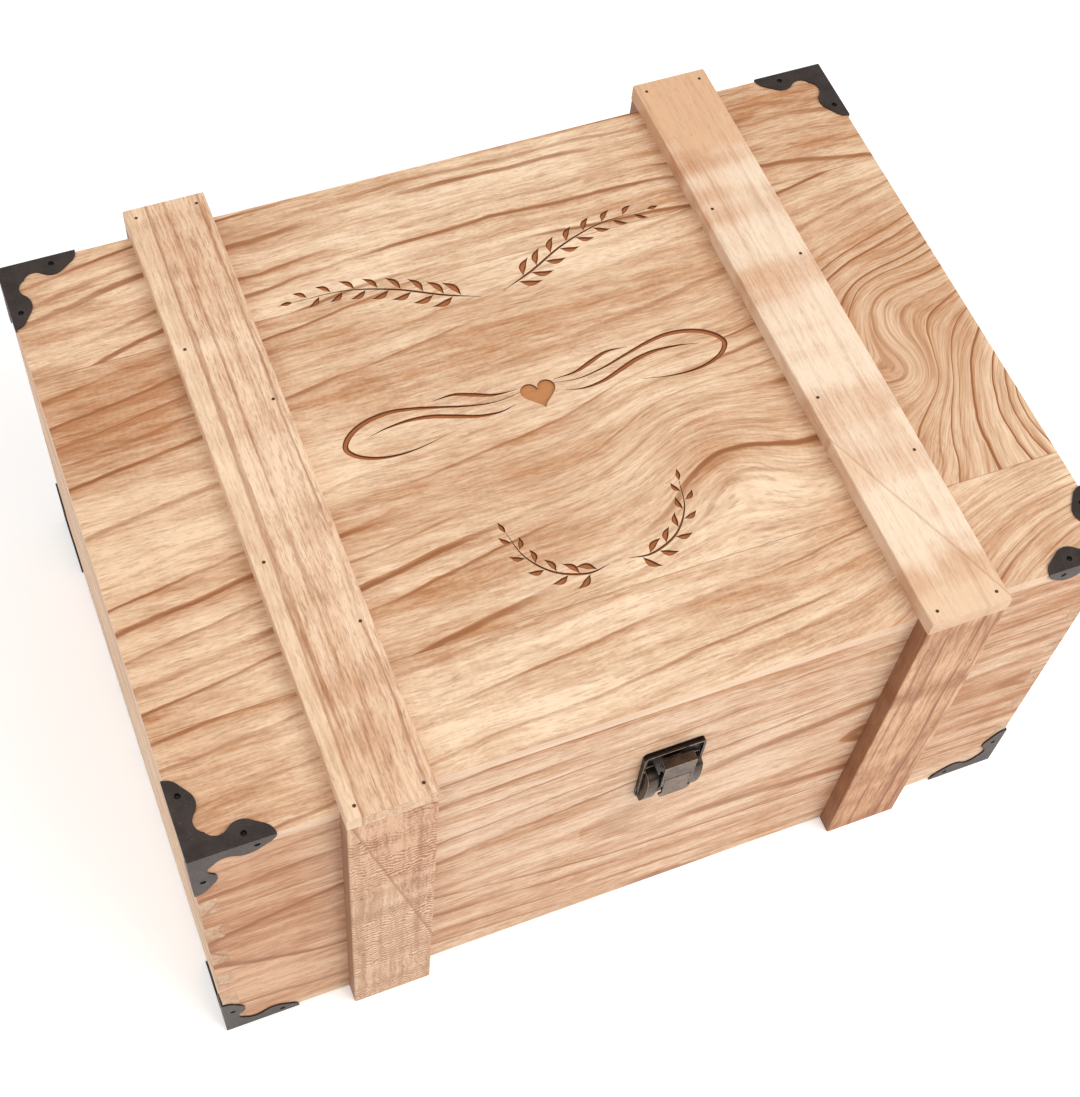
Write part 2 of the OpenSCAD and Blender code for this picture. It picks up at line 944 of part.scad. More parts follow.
module latch_lever() {
    color("#77695a")
        at_latch()
            difference() {
                union() {
                    outwards(lever_out - sheet_t, lever_out)
                        lever_outline();
                    for (side = [-1, 1])
                        on_side(side)
                            along_x(ear_x - ear_t, ear_x)
                                lever_ear_outline();
                }
                pin_across(lever_pivot, lever_pin_r + pin_fit, -latch_w, latch_w);
                pin_across(tongue_pivot, tongue_pin_r + pin_fit, -latch_w, latch_w);
            }
}

module latch_tongue_pin() {
    color("#8a7a63")
        at_latch()
            pin_across(tongue_pivot, tongue_pin_r, -leg_x, leg_x);
}

// Sheet hoop: two legs on the pin, a plate above the lever, a return and a turned-down tip
module latch_tongue() {
    color("#66574a")
        at_latch() {
            for (side = [-1, 1])
                on_side(side)
                    along_x(leg_x - leg_w, leg_x)
                        tongue_leg_outline();
            along_x(-leg_x, leg_x) {
                translate([lever_out - sheet_t, tongue_foot])
                    square([sheet_t, tongue_top - tongue_foot]);
                translate([tip_out, tongue_top - sheet_t])
                    square([lever_out - tip_out, sheet_t]);
                translate([tip_out, tip_foot])
                    square([sheet_t, tongue_top - tip_foot]);
            }
        }
}

lid_top_panel();
lid_front_board();
lid_back_board();
lid_left_board();
lid_right_board();
lid_top_strap_left();
lid_top_strap_right();
lid_front_strap_left();
lid_front_strap_right();
lid_back_strap_left();
lid_back_strap_right();
lid_bracket_front_left();
lid_bracket_front_right();
lid_bracket_back_left();
lid_bracket_back_right();
lid_strap_nails();
lid_bracket_nails();
catch_plate();
catch_plate_nails();
hinge_lid_leaf_left();
hinge_lid_leaf_right();
hinge_lid_screws();
base_bottom_panel();
base_front_board();
base_back_board();
base_left_board();
base_right_board();
base_front_strap_left();
base_front_strap_right();
base_back_strap_left();
base_back_strap_right();
base_bracket_front_left();
base_bracket_front_right();
base_bracket_back_left();
base_bracket_back_right();
base_strap_nails();
base_bracket_nails();
latch_base_plate();
latch_plate_nails();
latch_lever_pins();
hinge_base_leaf_left();
hinge_base_leaf_right();
hinge_base_screws();
hinge_pin_left();
hinge_pin_right();
latch_lever();
latch_tongue_pin();
latch_tongue();
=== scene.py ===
import math

import bmesh
import bpy
import numpy as np
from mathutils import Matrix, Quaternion, Vector


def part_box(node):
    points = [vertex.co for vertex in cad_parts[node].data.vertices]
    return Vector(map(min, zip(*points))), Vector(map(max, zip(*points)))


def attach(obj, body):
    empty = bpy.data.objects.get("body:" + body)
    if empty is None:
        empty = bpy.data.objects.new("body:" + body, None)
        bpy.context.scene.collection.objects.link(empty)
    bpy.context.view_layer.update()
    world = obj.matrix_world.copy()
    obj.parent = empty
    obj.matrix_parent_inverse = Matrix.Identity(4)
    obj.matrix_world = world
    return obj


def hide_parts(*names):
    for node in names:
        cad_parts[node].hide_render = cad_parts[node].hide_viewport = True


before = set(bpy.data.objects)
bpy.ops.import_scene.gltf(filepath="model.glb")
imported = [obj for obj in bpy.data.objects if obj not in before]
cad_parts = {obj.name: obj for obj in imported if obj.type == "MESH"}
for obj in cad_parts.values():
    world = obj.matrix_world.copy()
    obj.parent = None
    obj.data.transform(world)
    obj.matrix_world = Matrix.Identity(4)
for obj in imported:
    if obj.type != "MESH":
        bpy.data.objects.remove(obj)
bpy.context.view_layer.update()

# Camera. The box is seen from above its left front corner, with the camera turned a little
# about its own axis, so that the front edge climbs to the right.
MM = 0.001
camera_place = Vector((-206.8, -396.4, 831.3)) * MM
camera_aim = Vector((-27.0, -60.6, 196.8)) * MM
camera_roll = math.radians(7.6)
camera_lens = 62.66
camera_data = bpy.data.cameras.new("camera")
camera_data.lens = camera_lens
camera = bpy.data.objects.new("camera", camera_data)
bpy.context.scene.collection.objects.link(camera)
camera.location = camera_place
camera.rotation_mode = "QUATERNION"
camera.rotation_quaternion = (camera_aim - camera_place).to_track_quat("-Z", "Y") @ Quaternion(
    (0, 0, 1), camera_roll
)
bpy.context.scene.camera = camera

# Wood. Every wooden piece is bare, sanded paulownia: a pale, light wood with brown growth
# rings, short open pores and a soft shimmer of bands across the grain. One grain group
# serves all of them. It is a solid pattern, so faces and end grain of a board agree.


def srgb(red, green, blue):
    """A colour as it renders, 0 to 255 a channel, as the linear colour that a shader takes."""
    c = np.array([red, green, blue]) / 255
    linear = np.where(c <= 0.04045, c / 12.92, ((c + 0.055) / 1.055) ** 2.4)
    return (*linear.tolist(), 1.0)


def feed(tree, socket, value):
    """Gives a node's socket a number, a vector, a colour or another node's output."""
    if isinstance(value, bpy.types.NodeSocket):
        tree.links.new(value, socket)
    else:
        socket.default_value = value


def sums(tree, operation, *values):
    """A Math node with these values. Returns its output."""
    node = tree.nodes.new("ShaderNodeMath")
    node.operation = operation
    for socket, value in zip(node.inputs, values):
        feed(tree, socket, value)
    return node.outputs[0]


def times(tree, first, *others):
    """These numbers or outputs multiplied with each other."""
    for other in others:
        first = sums(tree, "MULTIPLY", first, other)
    return first


def plus(tree, first, *others):
    """These numbers or outputs added up."""
    for other in others:
        first = sums(tree, "ADD", first, other)
    return first


def minus(tree, first, other):
    """The first number or output less the other."""
    return sums(tree, "SUBTRACT", first, other)


def vector_sums(tree, operation, *values, output="Vector"):
    """A Vector Math node with these values. Returns its named output."""
    node = tree.nodes.new("ShaderNodeVectorMath")
    node.operation = operation
    inputs = [node.inputs["Vector"], node.inputs["Scale"]] if operation == "SCALE" else node.inputs
    for socket, value in zip(inputs, values):
        feed(tree, socket, value)
    return node.outputs[output]


def joined(tree, x, y, z):
    """A vector from three numbers or outputs."""
    node = tree.nodes.new("ShaderNodeCombineXYZ")
    for socket, value in zip(node.inputs, (x, y, z)):
        feed(tree, socket, value)
    return node.outputs[0]


def ramp(tree, value, low, high, low_out=0.0, high_out=1.0):
    """A smooth step: low_out up to low, high_out from high on."""
    node = tree.nodes.new("ShaderNodeMapRange")
    node.interpolation_type = "SMOOTHSTEP"
    for name, number in (("Value", value), ("From Min", low), ("From Max", high),
                         ("To Min", low_out), ("To Max", high_out)):
        feed(tree, node.inputs[name], number)
    return node.outputs["Result"]


def noise(tree, vector, seed, detail=2.0, rough=0.5, output="Fac"):
    """Four-dimensional noise, in which seed picks another piece of the same pattern."""
    node = tree.nodes.new("ShaderNodeTexNoise")
    node.noise_dimensions = "4D"
    feed(tree, node.inputs["Vector"], vector)
    feed(tree, node.inputs["W"], seed)
    node.inputs["Scale"].default_value = 1.0
    node.inputs["Detail"].default_value = detail
    node.inputs["Roughness"].default_value = rough
    return node.outputs[output]


def blended(tree, share, first, second, blend="MIX"):
    """Two colours mixed, or with another blend type, by share."""
    node = tree.nodes.new("ShaderNodeMix")
    node.data_type = "RGBA"
    node.blend_type = blend
    feed(tree, node.inputs[0], share)
    feed(tree, node.inputs[6], first)
    feed(tree, node.inputs[7], second)
    return node.outputs[2]


def build_group(name, inputs, outputs):
    """An empty shader group with these sockets. Returns its tree, its input and its output."""
    tree = bpy.data.node_groups.new(name, "ShaderNodeTree")
    kinds = {"number": "NodeSocketFloat", "vector": "NodeSocketVector", "colour": "NodeSocketColor"}
    for label, kind, default in inputs:
        socket = tree.interface.new_socket(label, in_out="INPUT", socket_type=kinds[kind])
        socket.default_value = default
    for label, kind in outputs:
        tree.interface.new_socket(label, in_out="OUTPUT", socket_type=kinds[kind])
    return tree, tree.nodes.new("NodeGroupInput"), tree.nodes.new("NodeGroupOutput")


def build_grain():
    """Growth rings round a pith line, as they show on any cut through the wood.

    Distances are in millimetres. A point's place is split into its share along the grain,
    across it and in depth. Its radius is its distance from the pith, which runs along the
    grain and nears the surface by Taper, so that rings show as long lines that close in
    arches. Each ring darkens slowly and ends in a thin line, and rings differ in width and
    strength. Streaks, fibres and pores are noise stretched along the grain, and wander as
    the rings do. Bands lie across the grain, Curl makes fibres wavy with fine ripples
    across them, and Push shifts all of it sideways.
    """
    tree, group, out = build_group(
        "paulownia grain",
        [
            ("Along", "vector", (1, 0, 0)), ("Across", "vector", (0, 1, 0)),
            ("Pith", "vector", (0, 0, 0)), ("Taper", "number", 0.1),
            ("Ring Width", "number", 11.0), ("Push", "number", 0.0), ("Wander", "number", 9.0),
            ("Curl", "number", 0.06), ("Lines", "number", 0.7), ("Bands", "number", 0.15),
            ("Streaks", "number", 0.75), ("Fibres", "number", 0.4), ("Grit", "number", 1.0),
            ("Tone", "number", 0.04), ("End", "number", 0.3), ("Seed", "number", 0.0),
            ("Pale", "colour", srgb(250, 221, 188)), ("Brown", "colour", srgb(197, 143, 101)),
            ("Line", "colour", srgb(148, 92, 54)),
        ],
        [("Colour", "colour"), ("Relief", "number"), ("Roughness", "number")],
    )
    given = group.outputs
    place = tree.nodes.new("ShaderNodeTexCoord")
    mm = vector_sums(tree, "SCALE", place.outputs["Object"], 1 / MM)
    deep_axis = vector_sums(tree, "CROSS_PRODUCT", given["Along"], given["Across"])
    along, across, deep = [vector_sums(tree, "DOT_PRODUCT", mm, axis, output="Value")
                           for axis in (given["Along"], given["Across"], deep_axis)]

    # The pith wanders slowly sideways and in depth. Scales are in waves per millimetre.
    slow_along, slow_across = 0.006, 0.013
    slow = joined(tree, times(tree, along, slow_along), times(tree, across, slow_across),
                  times(tree, deep, slow_across))
    drift = noise(tree, slow, given["Seed"], output="Color")
    drift = vector_sums(tree, "SUBTRACT", drift, (0.5, 0.5, 0.5))
    wander = tree.nodes.new("ShaderNodeSeparateXYZ")
    tree.links.new(vector_sums(tree, "SCALE", drift, given["Wander"]), wander.inputs[0])
    pith = tree.nodes.new("ShaderNodeSeparateXYZ")
    tree.links.new(given["Pith"], pith.inputs[0])
    side = plus(tree, across, wander.outputs[1])
    depth = plus(tree, deep, wander.outputs[2])
    run = times(tree, minus(tree, along, pith.outputs[0]), given["Taper"])
    rise = plus(tree, minus(tree, depth, pith.outputs[2]), run)
    apart = minus(tree, side, pith.outputs[1])
    radius = plus(tree, sums(tree, "POWER", apart, 2.0), sums(tree, "POWER", rise, 2.0))
    radius = sums(tree, "SQRT", radius)

    def streaky(lengthways, crossways, **kind):
        """Noise with these scales along and across the grain, in waves per millimetre."""
        at = joined(tree, times(tree, along, lengthways), times(tree, side, crossways),
                    times(tree, depth, crossways))
        return noise(tree, at, given["Seed"], **kind)

    # Rings and fibres shiver by a share of Wander, and wave by a share of Curl
    shiver_share, wave_share, least_wave = 0.35, 1.5, 0.4
    shiver = minus(tree, streaky(0.03, 0.05), 0.5)
    shiver = times(tree, shiver, times(tree, given["Wander"], shiver_share))
    wave = minus(tree, streaky(0.2, 0.05), 0.5)
    wave = times(tree, wave, sums(tree, "MULTIPLY_ADD", given["Curl"], wave_share, least_wave))
    pushed = plus(tree, given["Push"], plus(tree, shiver, wave))
    radius = plus(tree, radius, pushed)
    side = plus(tree, side, pushed)

    # Rings are counted outwards. share is a point's place in its ring, and lot a ring's chance.
    uneven_rings, uneven_by = 0.7, 1.6
    count = sums(tree, "DIVIDE", radius, given["Ring Width"])
    uneven = noise(tree, joined(tree, times(tree, count, uneven_rings), given["Seed"], 0.0), 0.0)
    count = plus(tree, count, times(tree, uneven, uneven_by))
    share = sums(tree, "FRACT", count)
    lot = tree.nodes.new("ShaderNodeTexWhiteNoise")
    lot.noise_dimensions = "2D"
    ring_seed = joined(tree, sums(tree, "FLOOR", count), given["Seed"], 0.0)
    tree.links.new(ring_seed, lot.inputs["Vector"])
    # Each ring ends in a line of this width, which comes up softly and breaks off sharply
    line_mm = 0.8
    thin = sums(tree, "DIVIDE", line_mm, given["Ring Width"])
    late = minus(tree, 1.0, times(tree, thin, 1.6))
    line_start = ramp(tree, share, minus(tree, late, thin), late)
    line_end = ramp(tree, share, minus(tree, 1.0, times(tree, thin, 0.8)), 1.0, 1.0, 0.0)
    gap_along, gap_rings = 0.011, 0.7
    gaps = joined(tree, times(tree, along, gap_along), times(tree, count, gap_rings), 0.0)
    gaps = ramp(tree, noise(tree, gaps, given["Seed"]), 0.38, 0.58, 0.15, 1.0)
    strength = times(tree, ramp(tree, lot.outputs["Value"], 0.1, 0.9, 0.1, 1.0), gaps)
    strength = times(tree, strength, given["Lines"])
    line = times(tree, times(tree, line_start, line_end), strength)
    toning = times(tree, sums(tree, "POWER", share, 3.0), strength)

    # The tone between Pale and Brown: streaks, grit, ripples, clouds, rings and bands
    streak = ramp(tree, streaky(0.011, 0.12, detail=6.0, rough=0.7), 0.35, 0.67)
    grit = ramp(tree, streaky(0.16, 0.9, detail=3.0, rough=0.7), 0.3, 0.7, -0.2, 0.2)
    streak = plus(tree, times(tree, streak, given["Streaks"]), times(tree, grit, given["Grit"]))
    ripple_step, ripple_bend = 2.3, 22.0
    phase = times(tree, streaky(0.09, 0.2), ripple_bend)
    phase = sums(tree, "MULTIPLY_ADD", along, ripple_step, phase)
    patch = ramp(tree, streaky(0.035, 0.02, detail=1.0), 0.4, 0.56, 0.15, 1.0)
    ripple = ramp(tree, sums(tree, "SINE", phase), -0.5, 1.0, -0.12, 0.62)
    streak = plus(tree, streak, times(tree, ripple, patch, given["Curl"]))
    cloud_seed = plus(tree, given["Seed"], 3.3)
    cloud = ramp(tree, noise(tree, slow, cloud_seed, detail=1.0), 0.36, 0.64, -0.17, 0.17)
    band = ramp(tree, streaky(0.055, 0.007, detail=1.5), 0.33, 0.67, -0.5, 0.5)
    band = times(tree, band, given["Bands"])
    toned_rings = 0.8
    tone = plus(tree, plus(tree, streak, cloud), plus(tree, times(tree, toning, toned_rings), band))
    tone = plus(tree, tone, given["Tone"])
    tone.node.use_clamp = True

    # Fibres are strongest in brown wood. Pores are short open grooves.
    fibre = ramp(tree, streaky(0.06, 1.0, detail=3.0), 0.44, 0.62)
    fibre_tone = times(tree, times(tree, fibre, given["Fibres"]),
                       sums(tree, "MULTIPLY_ADD", tone, 0.7, 0.3))
    pore = ramp(tree, streaky(0.2, 1.9, detail=1.0), 0.58, 0.68)
    pore = times(tree, pore, given["Grit"])
    end = vector_sums(tree, "DOT_PRODUCT", place.outputs["Normal"], given["Along"], output="Value")
    end = times(tree, ramp(tree, sums(tree, "ABSOLUTE", end), 0.6, 0.9), given["End"])

    pore_share = 0.4
    colour = blended(tree, tone, given["Pale"], given["Brown"])
    for share_of_line in (fibre_tone, line, times(tree, pore, pore_share), end):
        colour = blended(tree, share_of_line, colour, given["Line"])
    tree.links.new(colour, out.inputs["Colour"])
    fibre_deep, pore_deep, line_deep = 0.4, 0.6, 0.4
    relief = plus(tree, times(tree, fibre, fibre_deep), times(tree, pore, pore_deep))
    relief = plus(tree, relief, times(tree, line, line_deep))
    tree.links.new(minus(tree, 1.0, relief), out.inputs["Relief"])
    tree.links.new(ramp(tree, tone, 0.0, 1.0, 0.6, 0.5), out.inputs["Roughness"])
    return tree


GRAIN = build_grain()


def start_material(name):
    """A new material. Returns it with its node tree and its Principled shader."""
    material = bpy.data.materials.new(name)
    material.use_nodes = True
    return material, material.node_tree, material.node_tree.nodes["Principled BSDF"]


def placed(tree, group, **values):
    """The group as a node in tree, with these values on its inputs (a _ stands for a space)."""
    node = tree.nodes.new("ShaderNodeGroup")
    node.node_tree = group
    for label, value in values.items():
        feed(tree, node.inputs[label.replace("_", " ")], value)
    return node


def wood(name, **grain):
    """A paulownia material with these grain values. Returns it, its tree, shader and grain."""
    material, tree, shader = start_material(name)
    pattern = placed(tree, GRAIN, **grain)
    bump = tree.nodes.new("ShaderNodeBump")
    relief, groove = 0.35, 0.25 * MM
    bump.inputs["Strength"].default_value = relief
    bump.inputs["Distance"].default_value = groove
    tree.links.new(pattern.outputs["Relief"], bump.inputs["Height"])
    tree.links.new(bump.outputs["Normal"], shader.inputs["Normal"])
    tree.links.new(pattern.outputs["Colour"], shader.inputs["Base Color"])
    tree.links.new(pattern.outputs["Roughness"], shader.inputs["Roughness"])
    shader.inputs["Specular IOR Level"].default_value = 0.35
    return material, tree, shader, pattern


def browned(tree, colour, axis, start, end, share):
    """The colour, deepened by share beyond the millimetres start to end along an axis.

    Slow noise moves that edge back and forth by up to half of edge_play, in millimetres.
    """
    edge_play, play_scale = 60.0, 60.0
    place = tree.nodes.new("ShaderNodeTexCoord").outputs["Object"]
    reach = vector_sums(tree, "DOT_PRODUCT", place, Vector(axis) / MM, output="Value")
    play = noise(tree, vector_sums(tree, "SCALE", place, play_scale), 0.0)
    reach = plus(tree, reach, sums(tree, "MULTIPLY_ADD", play, edge_play, -edge_play / 2))
    share = ramp(tree, reach, start, end, 0.0, share)
    return blended(tree, share, colour, srgb(228, 196, 168), blend="MULTIPLY")


def finish_nodes(material, *nodes):
    """Gives CAD nodes this material in every slot."""
    for name in nodes:
        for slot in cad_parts[name].material_slots:
            slot.material = material


# Lid top panel. One panel glued up from three wide staves and sanded. A ribbon with a small
# heart and four leafy sprigs are engraved in it with a laser, which leaves flat-bottomed
# grooves with scorched walls.
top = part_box("lid_top_panel")[1].z
groove_depth = 0.8 * MM
heart_depth = 1.0 * MM
# How far a cutter stands above the panel, as a share of its depth
proud = 0.3


def curve_through(points, count):
    """count points of the Catmull-Rom curve through these: between two it bends as the rest ask."""
    p = np.vstack([2 * points[0] - points[1], points, 2 * points[-1] - points[-2]])
    at = np.linspace(0, len(points) - 1 - 1e-9, count)
    i = at.astype(int)
    t = (at - i)[:, None]
    a, b, c, d = p[i], p[i + 1], p[i + 2], p[i + 3]
    curve = 2 * b + (c - a) * t + (2 * a - 5 * b + 4 * c - d) * t**2
    return 0.5 * (curve + (3 * b - a - 3 * c + d) * t**3)


def groove_cutter(path, widths, depth):
    """A closed bar along a path in the panel's plane: a trapezium, wide above and narrow below.

    path is (n, 2) in metres and widths is (n,). At each point the bar's four corners lie to
    the left and right of the path, above the panel and at the groove's floor.
    """
    wide, narrow = 1.15, 0.55
    step = np.gradient(path, axis=0)
    step /= np.linalg.norm(step, axis=1)[:, None]
    side = np.c_[-step[:, 1], step[:, 0]] * widths[:, None] / 2
    above = top + proud * depth
    floor = top - depth
    corners = [(wide, above), (narrow, floor), (-narrow, floor), (-wide, above)]
    rings = np.stack([np.c_[path + share * side, np.full(len(path), z)] for share, z in corners], 1)
    n = len(path)
    i, j = np.meshgrid(np.arange(n - 1), np.arange(4), indexing="ij")
    k = (j + 1) % 4
    sides = np.stack([4 * i + j, 4 * (i + 1) + j, 4 * (i + 1) + k, 4 * i + k], -1).reshape(-1, 4)
    ends = [[0, 1, 2, 3], [4 * n - 1, 4 * n - 2, 4 * n - 3, 4 * n - 4]]
    return rings.reshape(-1, 3), sides.tolist() + ends


def heart_cutter(centre, width, depth):
    """A heart-shaped prism, from x = sin(t)^3 and y = a sum of cosines of t, 2t, 3t and 4t."""
    t = np.linspace(0, 2 * np.pi, 72, endpoint=False)
    x = np.sin(t) ** 3
    y = (13 * np.cos(t) - 5 * np.cos(2 * t) - 2 * np.cos(3 * t) - np.cos(4 * t)) / 16
    outline = np.c_[x, y][::-1] * width / 2 + centre
    n = len(t)
    above, floor = np.full(n, top + proud * depth), np.full(n, top - depth)
    i = np.arange(n)
    k = (i + 1) % n
    sides = np.stack([i, i + n, k + n, k], -1).tolist()
    faces = sides + [i.tolist(), (2 * n - 1 - i).tolist()]
    return np.vstack([np.c_[outline, above], np.c_[outline, floor]]), faces


def stroke(points, widest, ends=0.25, count=48, swell=0.5):
    """A groove through points in millimetres, thin at both ends and widest at swell of its length.

    Its width follows a power of the sine of the share of the way to the widest place.
    """
    path = curve_through(np.array(points, float), count) * MM
    share = np.linspace(0, 1, count)
    way = np.where(share < swell, share / swell, (1 - share) / (1 - swell))
    widths = (ends + (widest - ends) * np.sin(way * np.pi / 2) ** 1.5) * MM
    return groove_cutter(path, widths, groove_depth)


def sprig(stem, leaves, leaf_length, leaf_width):
    """Cutters of a sprig: a stem groove with leaves on alternate sides, smaller towards its tip.

    Leaf k starts at a share of the stem that grows evenly with k, turns off it by leaf_turn
    radians and bends by leaf_bend of its own length.
    """
    steps = 200
    first_leaf, leafy_share = 0.12, 0.86
    leaf_turn, leaf_bend, leaf_gap = 0.62, 0.12, 0.9
    shorter, thinner = 0.4, 0.3
    cutters = [stroke(stem, 1.1, swell=0.3)]
    path = curve_through(np.array(stem, float), steps)
    for k in range(leaves):
        at = int(steps * (first_leaf + leafy_share * k / leaves))
        way = path[min(at + 2, steps - 1)] - path[at]
        hand = 1 if k % 2 else -1
        heading = math.atan2(way[1], way[0]) + hand * leaf_turn
        length = leaf_length * (1 - shorter * k / leaves)
        width = leaf_width * (1 - thinner * k / leaves)
        lean = np.array([math.cos(heading), math.sin(heading)])
        across = np.array([-lean[1], lean[0]]) * (hand * leaf_bend) * length
        root = path[at] + leaf_gap * lean
        leaf = [root, root + 0.5 * length * lean + across, root + length * lean]
        cutters.append(stroke(leaf, width, ends=0.15, count=14, swell=0.45))
    tip = path[-1] - path[-4]
    tip /= np.linalg.norm(tip)
    tip_leaf = [path[-1] + reach * tip for reach in (0.4, 3, 6)]
    cutters.append(stroke(tip_leaf, leaf_width * 0.7, ends=0.15, count=12))
    return cutters


def both_sides(points):
    """The points and their mirror image across the panel's middle line."""
    return [points, [(-x, y) for x, y in points]]


ribbon_loop = [(7.5, 10.9), (18, 9.7), (29, 11.3), (41, 14.6), (52, 17.5), (62, 18.8), (72, 17.2),
               (79.5, 13.2), (83, 7.8), (80, 3), (73, -0.4), (64, -1.8), (54, -1.2), (43, 0.9)]
ribbon_top = [(8, 12.6), (18, 13.2), (26, 16), (34, 18.6), (43, 18.2)]
ribbon_low = [(11, 6), (18, 4.5), (27, 5.3), (36, 8.2), (45, 11.2), (54, 12.5), (64, 11.9),
              (72, 10.2)]
upper_stem = [(5, 62), (20, 68), (38, 77), (58, 83), (80, 84)]
lower_stem = [(4, -76), (14, -77), (26, -72), (34, -62), (37, -50)]

heart_centre, heart_width = np.array([0, 8.2]) * MM, 15 * MM
cutters = [heart_cutter(heart_centre, heart_width, heart_depth)]
for side_points in both_sides(ribbon_loop):
    cutters.append(stroke(side_points, 2.5, count=90, swell=0.55))
for side_points in both_sides(ribbon_top):
    cutters.append(stroke(side_points, 2.0))
for side_points in both_sides(ribbon_low):
    cutters.append(stroke(side_points, 2.2, count=60))
for side_points in both_sides(upper_stem):
    cutters += sprig(side_points, 15, 10.5, 3.2)
for side_points in both_sides(lower_stem):
    cutters += sprig(side_points, 10, 8.5, 2.9)


def new_piece(name, verts, faces, material):
    """A mesh object from points and faces, with one material."""
    mesh = bpy.data.meshes.new(name)
    mesh.from_pydata([tuple(v) for v in np.asarray(verts).tolist()], [], faces)
    mesh.materials.append(material)
    mesh.update()
    piece = bpy.data.objects.new(name, mesh)
    bpy.context.scene.collection.objects.link(piece)
    return piece


def copied(name, node, material):
    """A copy of a CAD node's mesh as a new piece, with doubles merged and flat faces joined."""
    merge_gap, flat_angle = 0.002 * MM, math.radians(1)
    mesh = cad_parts[node].data.copy()
    mesh.attributes.remove(mesh.attributes["custom_normal"])
    work = bmesh.new()
    work.from_mesh(mesh)
    bmesh.ops.remove_doubles(work, verts=work.verts, dist=merge_gap)
    bmesh.ops.dissolve_limit(work, angle_limit=flat_angle, verts=work.verts, edges=work.edges)
    work.to_mesh(mesh)
    work.free()
    mesh.materials.clear()
    mesh.materials.append(material)
    for face in mesh.polygons:
        face.material_index = 0
        face.use_smooth = False
    piece = bpy.data.objects.new(name, mesh)
    bpy.context.scene.collection.objects.link(piece)
    return piece


def settle(piece):
    """Applies a piece's modifiers to its mesh."""
    seen = piece.evaluated_get(bpy.context.evaluated_depsgraph_get())
    mesh = bpy.data.meshes.new_from_object(seen)
    piece.modifiers.clear()
    piece.data = mesh


def eased(piece, width, segments=2, angle=35):
    """Rounds a piece's edges that are sharper than angle, by width in metres."""
    bevel = piece.modifiers.new("eased edges", "BEVEL")
    bevel.width = width
    bevel.segments = segments
    bevel.limit_method = "ANGLE"
    bevel.angle_limit = math.radians(angle)
    return bevel


top_wood, tree, shader, pattern = wood(
    "top panel wood", Along=(1, 0, 0), Across=(0, 1, 0), Grit=0.75, Brown=srgb(192, 136, 92)
)
# Each stave was sawn from another part of the trunk. These are the upper, middle and lower
# one's pith (its place, and how it slants), rings and looks.
stave_edges = (79.0, -88.0)
stave_pith = ((10, 20, 197), (0, -165, 150), (195, -230, 197))
stave_slant = (0.0, 0.15, 0.04)
stave_values = {"Ring Width": (8.0, 11.0, 9.0), "Taper": (0.3, 0.0, 0.12), "Seed": (4.1, 1.7, 9.3),
                "Streaks": (0.65, 0.5, 0.55)}
stave_tone = (0.17, 0.15, 0.12)
place = tree.nodes.new("ShaderNodeTexCoord")
parts = tree.nodes.new("ShaderNodeSeparateXYZ")
tree.links.new(vector_sums(tree, "SCALE", place.outputs["Object"], 1 / MM), parts.inputs[0])
x_mm, y_mm, z_mm = parts.outputs
in_upper = sums(tree, "GREATER_THAN", y_mm, stave_edges[0])
in_lower = sums(tree, "LESS_THAN", y_mm, stave_edges[1])
in_middle = minus(tree, 1.0, plus(tree, in_upper, in_lower))


def by_stave(values):
    """The middle stave's value, exchanged for the upper or lower stave's in their places."""
    upper, middle, lower = values
    value = plus(tree, middle, times(tree, in_upper, upper - middle))
    return plus(tree, value, times(tree, in_lower, lower - middle))


pith_x, pith_y, pith_z = [by_stave(values) for values in zip(*stave_pith)]
pith_y = plus(tree, pith_y, times(tree, x_mm, by_stave(stave_slant)))
tree.links.new(joined(tree, pith_x, pith_y, pith_z), pattern.inputs["Pith"])
for name, values in stave_values.items():
    tree.links.new(by_stave(values), pattern.inputs[name])
# Branches once grew near these places, and the rings swell and swirl round them: the place,
# how far it reaches and how far it pushes the rings, in millimetres
middle_knots = [((230.0, -48.0), 50.0, -160.0), ((58.0, -42.0), 26.0, -22.0),
                ((152.0, -33.0), 11.0, 24.0), ((158.0, 4.0), 15.0, -26.0)]
lower_knots = [((200.0, -176.0), 50.0, -140.0)]


def bell(distance, reach):
    """exp(-distance^2 / (2 reach^2)): 1 in the middle, falling off to either side."""
    power = sums(tree, "DIVIDE", sums(tree, "POWER", distance, 2.0), -2 * reach**2)
    return sums(tree, "POWER", math.e, power)


def knotted(knots, stave):
    """The push of all knots on a stave: each is a bell curve of the distance from its place.

    stave is 1 on that stave and 0 elsewhere.
    """
    total = 0.0
    for (x, y), reach, push in knots:
        near = times(tree, bell(minus(tree, x_mm, x), reach), bell(minus(tree, y_mm, y), reach))
        total = plus(tree, total, times(tree, near, push))
    return times(tree, total, stave)


push = plus(tree, knotted(middle_knots, in_middle), knotted(lower_knots, in_lower))
tree.links.new(push, pattern.inputs["Push"])
# Round the knots the wood is more lined, banded and wavy: these are the values away from them
# and what each millimetre of push adds
for name, plain, added in (("Lines", 0.9, -0.006), ("Bands", 0.1, -0.003), ("Wander", 12.0, -0.09)):
    tree.links.new(plus(tree, plain, times(tree, push, added)), pattern.inputs[name])
# A browner band runs along the middle stave, behind the ribbon
band_y, band_reach, band_tone = 40.0, 15.0, 0.3
band = times(tree, bell(minus(tree, y_mm, band_y), band_reach), band_tone)
tree.links.new(plus(tree, by_stave(stave_tone), band), pattern.inputs["Tone"])
